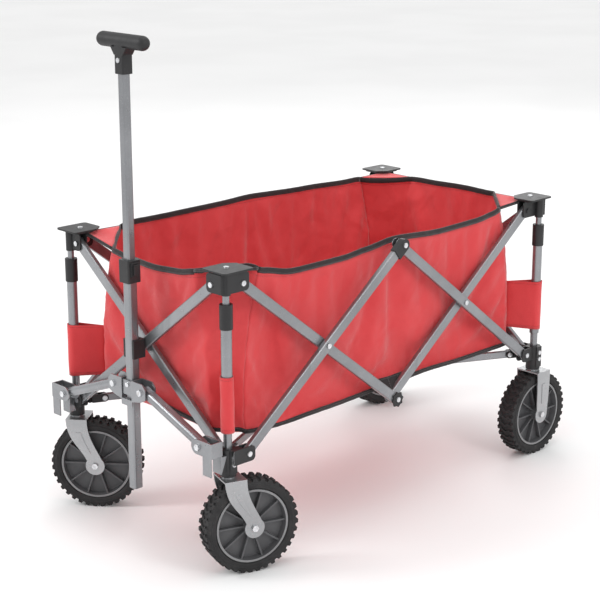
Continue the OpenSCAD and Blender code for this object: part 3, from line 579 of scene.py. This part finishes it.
RIM_CUT = CUT + 0.034                 # the cut corners open out towards the rim
HEM_CUT = CUT - 0.003
xs, ys = OUT_X - RIM_CUT, OUT_Y - RIM_CUT
d = math.sqrt(0.5)
edge("left", (xs, OUT_Y), (-xs, OUT_Y), (0, 1))
edge("rear_cut_left", (-xs, OUT_Y), (-OUT_X, ys), (-d, d))
edge("rear", (-OUT_X, ys), (-OUT_X, -ys), (-1, 0))
edge("rear_cut_right", (-OUT_X, -ys), (-xs, -OUT_Y), (-d, -d))
edge("right", (-xs, -OUT_Y), (xs, -OUT_Y), (0, -1))
edge("front_cut_right", (xs, -OUT_Y), (OUT_X, -ys), (d, -d))
edge("front", (OUT_X, -ys), (OUT_X, ys), (1, 0))
edge("front_cut_left", (OUT_X, ys), (xs, OUT_Y), (d, d))

COLS = len(columns)
ROWS = round((RIM_Z - FLOOR_Z) / STEP) + 1
col = np.array([c[:4] for c in columns])
panel = np.array([c[4].split("_")[0] for c in columns])
is_cut = np.array(["cut" in c[4] for c in columns])


def height_at(profiles, x, y, name):
    if name in ("left", "right"):
        return float(profiles[name](x))
    return float(profiles[name](y))


z_top = np.array([height_at(rim, c[0], c[1], c[4].split("_")[0]) for c in columns])
z_low = np.array([height_at(hem, c[0], c[1], c[4].split("_")[0]) for c in columns])
for arr in (z_top, z_low):            # no step where two panels meet
    arr[:] = (np.roll(arr, 2) + 2 * np.roll(arr, 1) + 3 * arr + 2 * np.roll(arr, -1) + np.roll(arr, -2)) / 9
rng = np.random.RandomState(11)
t_row = np.linspace(0, 1, ROWS)
base = np.zeros((ROWS, COLS, 3))
share = np.array([0.0] * COLS)        # place between two corners: -1..1 along a side, 0..1 along a cut
for i, c in enumerate(columns):
    if "cut" in c[4]:
        first = [k for k in range(COLS) if columns[k][4] == c[4]]
        share[i] = (i - first[0]) / len(first)
    else:
        share[i] = c[0] / xs if c[4] in ("left", "right") else c[1] / ys


def outline(t):
    """Plan of the basket at a height: its cut corners widen towards the rim."""
    cut = HEM_CUT + (RIM_CUT - HEM_CUT) * t ** 2.6
    x1, y1 = OUT_X - cut, OUT_Y - cut
    out = np.zeros((COLS, 2))
    for i, c in enumerate(columns):
        f = share[i]
        if c[4] in ("left", "right"):
            out[i] = (x1 * f, OUT_Y if c[4] == "left" else -OUT_Y)
        elif c[4] in ("front", "rear"):
            out[i] = (OUT_X if c[4] == "front" else -OUT_X, y1 * f)
        else:
            a, b = {"rear_cut_left": ((-x1, OUT_Y), (-OUT_X, y1)),
                    "rear_cut_right": ((-OUT_X, -y1), (-x1, -OUT_Y)),
                    "front_cut_right": ((x1, -OUT_Y), (OUT_X, -y1)),
                    "front_cut_left": ((OUT_X, y1), (x1, OUT_Y))}[c[4]]
            out[i] = (a[0] + (b[0] - a[0]) * f, a[1] + (b[1] - a[1]) * f)
    return out


# Slow waves along the cloth start the folds; the cloth hangs a little inwards between its supports
wave = sum(a * np.sin(np.arange(COLS) / COLS * 2 * math.pi * k + ph)
           for k, a, ph in ((9, .5, 1.1), (17, .35, 4.0), (31, .25, 2.2)))
belly = np.where(is_cut, 0.0015, 0.0045)
ends = np.abs(np.where((panel == "left") | (panel == "right"), col[:, 0] / xs, col[:, 1] / ys))
belly = belly * np.clip(1.15 - ends ** 3, 0.15, 1)
for i, t in enumerate(t_row):
    inward = belly * math.sin(math.pi * t) ** 0.8 + 0.0016 * wave * math.sin(math.pi * t)
    inward = inward + rng.uniform(-0.0004, 0.0004, COLS)
    plan = outline(t)
    base[i, :, 0] = plan[:, 0] - col[:, 2] * inward
    base[i, :, 1] = plan[:, 1] - col[:, 3] * inward
    base[i, :, 2] = z_low + (z_top - z_low) * t


def hold_weights():
    """How firmly each point of the cloth is held: hem, corner seams, brackets and middle tabs."""
    w = np.zeros((ROWS, COLS))
    w[0] = 1.0
    w[-1] = 0.45
    w[-2] = 0.25
    corner = is_cut | (ends > 0.955)
    w[-1, corner] = 1.0
    w[-2, corner] = 0.8
    for i in range(ROWS):
        w[i, is_cut] = np.maximum(w[i, is_cut], 0.35)
    middle = (panel == "left") | (panel == "right")
    w[-1, middle & (np.abs(col[:, 0]) < 0.016)] = 1.0
    w[1:4, middle & (np.abs(col[:, 0]) < 0.02)] = 0.8
    return w


def simulate(P, weights, frames=22):
    """Slack cloth settles under its weight: Blender's cloth on the ring of walls."""
    r, c = P.shape[:2]
    faces = [(i * c + j, i * c + (j + 1) % c, (i + 1) * c + (j + 1) % c, (i + 1) * c + j)
             for i in range(r - 1) for j in range(c)]
    me = bpy.data.meshes.new("ring")
    me.from_pydata([tuple(v) for v in P.reshape(-1, 3)], [], faces)
    o = bpy.data.objects.new("ring", me)
    bpy.context.scene.collection.objects.link(o)
    group = o.vertex_groups.new(name="hold")
    for k, w in enumerate(weights.ravel()):
        if w > 0:
            group.add([k], float(w), "REPLACE")
    mod = o.modifiers.new("cloth", "CLOTH")
    st = mod.settings
    st.quality = 6
    st.mass = 0.12
    st.tension_stiffness = st.compression_stiffness = 18
    st.shear_stiffness = 7
    st.bending_stiffness = 0.9
    st.air_damping = 2
    st.shrink_min = -0.036
    st.vertex_group_mass = "hold"
    st.pin_stiffness = 1.0
    st.effector_weights.gravity = 0.6
    mod.collision_settings.use_collision = False
    mod.collision_settings.use_self_collision = False
    scene = bpy.context.scene
    scene.frame_start, scene.frame_end = 1, frames
    mod.point_cache.frame_start, mod.point_cache.frame_end = 1, frames
    for f in range(1, frames + 1):
        scene.frame_set(f)
    ev = o.evaluated_get(bpy.context.evaluated_depsgraph_get())
    out = np.empty(len(me.vertices) * 3, np.float32)
    ev.data.vertices.foreach_get("co", out)
    out = out.reshape(r, c, 3).astype(float)
    bpy.data.objects.remove(o)
    bpy.data.meshes.remove(me)
    scene.frame_set(1)
    scene.frame_start = scene.frame_end = 1
    return out


cloth = simulate(base, hold_weights())
# The frame outside and the corner seams limit how far the cloth moves; the bound rim stays even
move = cloth - base
for depth, passes in ((1, 12), (2, 9), (3, 6), (4, 3), (5, 2)):
    for _ in range(passes):
        m = move[-depth]
        move[-depth] = (np.roll(m, 1, 0) + 2 * m + np.roll(m, -1, 0)) / 4
for _ in range(2):
    move[1:-1] = (move[:-2] + 2 * move[1:-1] + move[2:]) / 4
out_move = move[:, :, 0] * col[:, 2] + move[:, :, 1] * col[:, 3]
along = move - np.stack([out_move * col[:, 2], out_move * col[:, 3], np.zeros_like(out_move)], 2)
limit_out, limit_in = 0.0052, 0.0150
out_move = np.where(out_move > 0, limit_out * np.tanh(out_move / limit_out),
                    limit_in * np.tanh(out_move / limit_in))
size = np.linalg.norm(along, axis=2, keepdims=True)
along = along * (0.006 * np.tanh(size / 0.006)) / np.maximum(size, 1e-9)
cloth = base + along
cloth[:, :, 0] += out_move * col[:, 2]
cloth[:, :, 1] += out_move * col[:, 3]
cloth[0] = base[0]

normals = grid_normals(cloth, closed=True)
if np.sum(normals[ROWS // 2, :, 0] * col[:, 2] + normals[ROWS // 2, :, 1] * col[:, 3]) < 0:
    normals = -normals
run = np.concatenate([[0], np.cumsum(np.hypot(np.diff(col[:, 0]), np.diff(col[:, 1])))])
total = run[-1] + math.dist(col[-1, :2], col[0, :2])
drop = (z_top[None, :] - cloth[:, :, 2])
uv_ring = np.stack([np.tile(run, (ROWS, 1)), drop], 2)

FOLLOW = {"left": ("top_fl", "x"), "front": ("top_fl", "y"),
          "right": ("top_fr", "x"), "rear": ("top_rl", "y")}
pieces_of = {k: [] for k in FOLLOW}


def follow(o, side):
    """The piece rides on its bracket's body."""
    body, axis = FOLLOW[side]
    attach(o, body)
    if axis == "x":
        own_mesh(o)
    else:
        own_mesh(o)


RIM_TAPE = [(0.0021, -0.0095), (0.0022, -0.004), (0.0021, 0.0), (0.0010, 0.0013), (-0.0010, 0.0013),
            (-0.0021, 0.0), (-0.0022, -0.004), (-0.0021, -0.0095)]
HEM_TAPE = [(0.0019, 0.0072), (0.0020, 0.003), (0.0019, 0.0), (0.0009, -0.0011), (-0.0009, -0.0011),
            (-0.0019, 0.0), (-0.0020, 0.003), (-0.0019, 0.0072)]
SEAM_TAPE = [(0.0040, 0.0018), (0.0034, 0.0026), (-0.0034, 0.0026), (-0.0040, 0.0018), (-0.0040, 0.0004),
             (0.0040, 0.0004)]

walls = {}
for side in ("left", "rear", "right", "front"):
    idx = [i for i in range(COLS) if panel[i] == side]
    if side == "front":               # the ring starts with the left side and ends with the front
        idx = idx + [0]
    else:
        idx = idx + [(idx[-1] + 1) % COLS]
    P, N, UV = cloth[:, idx], normals[:, idx], uv_ring[:, idx].copy()
    if side == "front":
        UV[:, -1, 0] = total
    wall = sheet(f"{side}_wall_cloth", P, N, UV, CLOTH, FABRIC)
    top_path = P[-1] + np.array((0, 0, 0.0004))
    low_path = P[0] - np.array((0, 0, 0.0002))
    tape = sweep(f"{side}_rim_binding", top_path, RIM_TAPE, BINDING)
    hem_tape = sweep(f"{side}_hem_binding", low_path, HEM_TAPE, BINDING)
    pieces_of[side] += [tape, hem_tape]
    walls[side] = (wall, P, idx)

# Corner flaps: from the cut corner's rim to the bracket, bound on their outer edges
cap_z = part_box("upper_bracket_fl")[1].z - 0.0022 - 0.006


def flap(c, sx, sy):
    side = "front" if sx > 0 else "rear"
    n = 10
    a = Vector((sx * xs, sy * OUT_Y, 0))
    b = Vector((sx * OUT_X, sy * ys, 0))
    tip = Vector((sx * (OUT_X + 0.001), sy * (OUT_Y + 0.001), 0))
    za = z_top[int(np.argmin(np.hypot(col[:, 0] - a.x, col[:, 1] - a.y)))]
    zb = z_top[int(np.argmin(np.hypot(col[:, 0] - b.x, col[:, 1] - b.y)))]
    z_tip = cap_z - 0.0008
    P = np.zeros((n + 1, n + 1, 3))
    for i in range(n + 1):
        s = i / n                     # from the chamfer to the tip
        for j in range(n + 1):
            t = j / n
            p = a.lerp(b, t).lerp(tip, s * 0.985)
            z = (za + (zb - za) * t) * (1 - s) + z_tip * s
            z -= 0.0022 * math.sin(math.pi * min(1, t)) * math.sin(math.pi * (0.15 + 0.8 * s))
            P[i, j] = (p.x, p.y, min(z, cap_z - 0.0008))
    N = grid_normals(P)
    if N[n // 2, n // 2, 2] < 0:
        N = -N
    UV = P[:, :, :2].copy()
    o = sheet(f"flap_{c}", P, N, UV, 0.0012, FLAP_FABRIC)
    edges = []
    for k, j in enumerate((0, n)):
        path = P[:, j].copy()
        edges.append(sweep(f"flap_binding_{c}_{k}", path, [(x * 0.9, z + 0.0035) for x, z in
                     [(0.0019, -0.0085), (0.0019, -0.0045), (0.0008, -0.0027), (-0.0008, -0.0027),
                      (-0.0019, -0.0045), (-0.0019, -0.0085)]], BINDING))
    return side, o, edges


for c, (sx, sy) in CORNERS.items():
    side, o, edges = flap(c, sx, sy)
    pieces_of[side] += [o] + edges

# Webbing tabs that hold the basket to the lower middle pivots
for side, sy in (("left", 1), ("right", -1)):
    boss_y = post_y - 0.0065
    rows = []
    for k in range(9):
        t = k / 8
        z = 0.266 - 0.030 * t
        y = OUT_Y + 0.0028 + (boss_y - OUT_Y - 0.0068) * (t * t * (3 - 2 * t))
        half = 0.044 - 0.029 * t
        rows.append([(half * (1 - 2 * s / 8), sy * y, z + 0.0006 * math.sin(6 * t + s)) for s in range(9)])
    G = np.array(rows)
    N = grid_normals(G)
    if N[4, 4, 1] * sy < 0:
        N = -N
    UV = np.stack([G[:, :, 0] + 0.033, 0.266 - G[:, :, 2]], 2)
    tab = sheet(f"{side}_pivot_tab", G, N, UV, 0.0016, WEBBING)
    pieces_of[side].append(tab)

for side, (wall, P, idx) in walls.items():
    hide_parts("wall_" + side)
    follow(wall, side)
    for p in pieces_of[side]:
        follow(p, side)

# Floor: two halves that meet on the middle line
for side, sy in (("left", 1), ("right", -1)):
    nx, ny = 100, 26
    reach_x, reach_y, cut = OUT_X - 0.0007, OUT_Y - 0.0007, HEM_CUT + 0.0002
    G = np.zeros((ny + 1, nx + 1, 3))
    for i in range(ny + 1):
        v = i / ny
        y = 0.0004 + (reach_y - 0.0004) * v
        half = reach_x - max(0.0, y - (reach_y - cut))
        for j in range(nx + 1):
            x = half * (1 - 2 * j / nx)
            edge_x = max(0.0, (abs(x) - (half - 0.035)) / 0.035)
            edge_y = max(0.0, (y - (reach_y - 0.03)) / 0.03)
            end_hem = hem["front" if x > 0 else "rear"]
            hem_z = float(hem[side](x)) if edge_y > edge_x else float(end_hem(sy * y))
            lift = max(edge_x, edge_y)
            z = 0.2392 + 0.0007 * math.sin(31 * x + 3) * math.sin(43 * y + 1) * (1 - lift)
            z += (hem_z + 0.0022 - z) * lift ** 2.2
            G[i, j] = (x, sy * y, z)
    N = grid_normals(G)
    if N[ny // 2, nx // 2, 2] < 0:
        N = -N
    UV = np.stack([G[:, :, 0] + 0.5, np.abs(G[:, :, 1])], 2)
    o = sheet(f"{side}_floor_cloth", G, N, UV, CLOTH, FLOOR_FABRIC)
    welt = sweep(f"{side}_floor_binding", G[0] + np.array((0, sy * 0.0015, 0)),
                 [(0.0019, 0.0009), (0.0012, 0.0017), (-0.0012, 0.0017), (-0.0019, 0.0009),
                  (-0.0019, -0.0012), (0.0019, -0.0012)], BINDING)
    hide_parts("floor_" + side)
    for p in (o, welt):
        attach(p, "floor_" + side)
        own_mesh(p)

# Sleeves sewn to the basket's corners, wrapped round the posts
for c, (sx, sy) in CORNERS.items():
    centre = Vector((sx * post_x, sy * post_y, 0))
    seam = Vector((sx * (OUT_X - CUT / 2 + 0.0022), sy * (OUT_Y - CUT / 2 + 0.0022), 0))
    gap = (seam - centre)
    dist = gap.length
    r = 0.0121
    phi = math.atan2(gap.y, gap.x)
    alpha = math.acos(r / dist)
    front = centre + r * Vector((math.cos(phi + alpha), math.sin(phi + alpha), 0))
    ring = [seam.lerp(front, k / 9) for k in range(9)]
    for k in range(25):
        a = phi + alpha + (2 * math.pi - 2 * alpha) * k / 24
        ring.append(centre + r * Vector((math.cos(a), math.sin(a), 0)))
    back = centre + r * Vector((math.cos(phi - alpha), math.sin(phi - alpha), 0))
    ring += [back.lerp(seam, k / 9) for k in range(1, 10)]
    z0, z1 = (0.2715, 0.3735) if sx > 0 else (0.2795, 0.3825)
    nz = 14
    G = np.zeros((nz + 1, len(ring), 3))
    runs = [(b - a).length for a, b in zip(ring, ring[1:])]
    run_s = np.concatenate([[0], np.cumsum(runs)])
    for i in range(nz + 1):
        t = i / nz
        for j, p in enumerate(ring):
            near_seam = max(0.0, 1 - abs(run_s[j] - run_s[-1] / 2) / (run_s[-1] / 2))
            wob = 0.0006 * math.sin(9 * t + j * 0.5) + 0.0009 * math.sin(3.1 * t + j * 0.23 + sx)
            out = (Vector((p.x, p.y, 0)) - centre)
            q = p + out.normalized() * wob * (0.35 + 0.65 * (1 - near_seam))
            G[i, j] = (q.x, q.y, z0 + (z1 - z0) * t + 0.004 * (near_seam - 0.5) * (t - 0.5))
    N = grid_normals(G)
    mid = N[nz // 2, len(ring) // 2]
    if mid[0] * -gap.x + mid[1] * -gap.y < 0:
        N = -N
    UV = np.stack([np.tile(run_s, (nz + 1, 1)), G[:, :, 2] - z0], 2)
    o = sheet(f"sleeve_{c}", G, N, UV, 0.0010, SLEEVE_FABRIC)
    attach(o, "leg_" + c)


# ---------------------------------------------------------------- treads

def tread(c):
    """Chevron blocks on the middle band of a tyre, and a raised ring on each side wall."""
    spin = JOINTS[f"wheel_{c}_spin"]
    centre, axis = Vector(spin["pos_m"]), Vector(spin["axis"]).normalized()
    fwd = axis.cross(Vector((0, 0, 1))).normalized()
    up = fwd.cross(axis).normalized()
    base_r, top_r = 0.0862, 0.0896
    count = 36
    verts, faces, uvs = [], [], []
    step = 2 * math.pi / count

    def add(y, a, r):
        verts.append(centre + axis * y + (fwd * math.cos(a) + up * math.sin(a)) * r)
        uvs.append((a * 0.09, y))

    for k in range(count):
        a0 = step * (k + 0.25)
        for s in (-1, 1):
            n = len(verts)
            for r, grow in ((base_r, 0.0), (top_r, -0.0006)):
                for y, lead in ((s * 0.0008, 0.0), (s * 0.0098, 0.38)):
                    for w in (-0.2, 0.2):
                        angle = a0 + step * (lead + w) - math.copysign(grow / 0.09, w)
                        add(y + s * (-grow if lead else grow), angle, r)
            b, t = n, n + 4
            faces += [(t, t + 1, t + 3, t + 2), (b, t, t + 2, b + 2), (b + 1, b + 3, t + 3, t + 1),
                      (b, b + 1, t + 1, t), (b + 2, t + 2, t + 3, b + 3)]
    for s in (-1, 1):
        ring_r, ring_y, r0 = 0.0795, s * 0.0204, 0.0009
        n = len(verts)
        seg, k6 = 96, 6
        for i in range(seg):
            a = 2 * math.pi * i / seg
            for j in range(k6):
                b = 2 * math.pi * j / k6
                add(ring_y + r0 * math.sin(b), a, ring_r + r0 * math.cos(b))
        for i in range(seg):
            for j in range(k6):
                p, q = n + i * k6 + j, n + i * k6 + (j + 1) % k6
                p2, q2 = n + ((i + 1) % seg) * k6 + j, n + ((i + 1) % seg) * k6 + (j + 1) % k6
                faces.append((p, q, q2, p2))
    o = finish_mesh(f"tread_{c}", verts, faces, uvs, TYRE, smooth=False)
    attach(o, "wheel_" + c)


for c in CORNERS:
    tread(c)


# ---------------------------------------------------------------- light, floor and camera

scene = bpy.context.scene
scene.view_settings.view_transform = "Standard"
scene.view_settings.look = "None"
world = bpy.data.worlds.new("studio")
scene.world = world
world.use_nodes = True
world.node_tree.nodes["Background"].inputs[0].default_value = (1.0, 1.0, 1.0, 1.0)
world.node_tree.nodes["Background"].inputs[1].default_value = 0.96


def area_light(name, at, look_at, size, power):
    data = bpy.data.lights.new(name, "AREA")
    data.shape = "SQUARE"
    data.size = size
    data.energy = power
    o = bpy.data.objects.new(name, data)
    o.location = at
    o.rotation_euler = (Vector(look_at) - Vector(at)).to_track_quat("-Z", "Y").to_euler()
    scene.collection.objects.link(o)


area_light("key", (2.5, -1.5, 2.2), (0, 0, 0.35), 0.8, 30)
area_light("side", (0.2, 3.0, 2.0), (0, 0, 0.3), 0.9, 20)
area_light("top", (0.1, 0.1, 3.6), (0, 0, 0.3), 1.4, 16)
area_light("back", (-3.2, -2.4, 2.6), (-0.6, -0.5, 0.0), 1.4, 24)

floor_mesh = bpy.data.meshes.new("studio_floor")
floor_mesh.from_pydata([(-30, -30, 0), (30, -30, 0), (30, 30, 0), (-30, 30, 0)], [], [(0, 1, 2, 3)])
studio = bpy.data.objects.new("studio_floor", floor_mesh)
scene.collection.objects.link(studio)
fm = Mat("studio_floor")
fm.set(Base_Color=fm.ramp(fm.noise(1.3, 2.0), [(0.3, (0.90, 0.90, 0.90)), (0.7, (0.93, 0.93, 0.93))]),
       Roughness=0.7, Specular_IOR_Level=0.1)
floor_mesh.materials.append(fm.mat)

cam_data = bpy.data.cameras.new("camera")
cam_data.lens = 95.7
cam_data.sensor_width = 36
cam = bpy.data.objects.new("camera", cam_data)
scene.collection.objects.link(cam)
cam.matrix_world = Matrix(((-0.7178, -0.1899, 0.6699, 2.194), (0.6963, -0.1958, 0.6906, 2.219),
                           (0.0, 0.9622, 0.2728, 1.266), (0, 0, 0, 1)))
scene.camera = cam
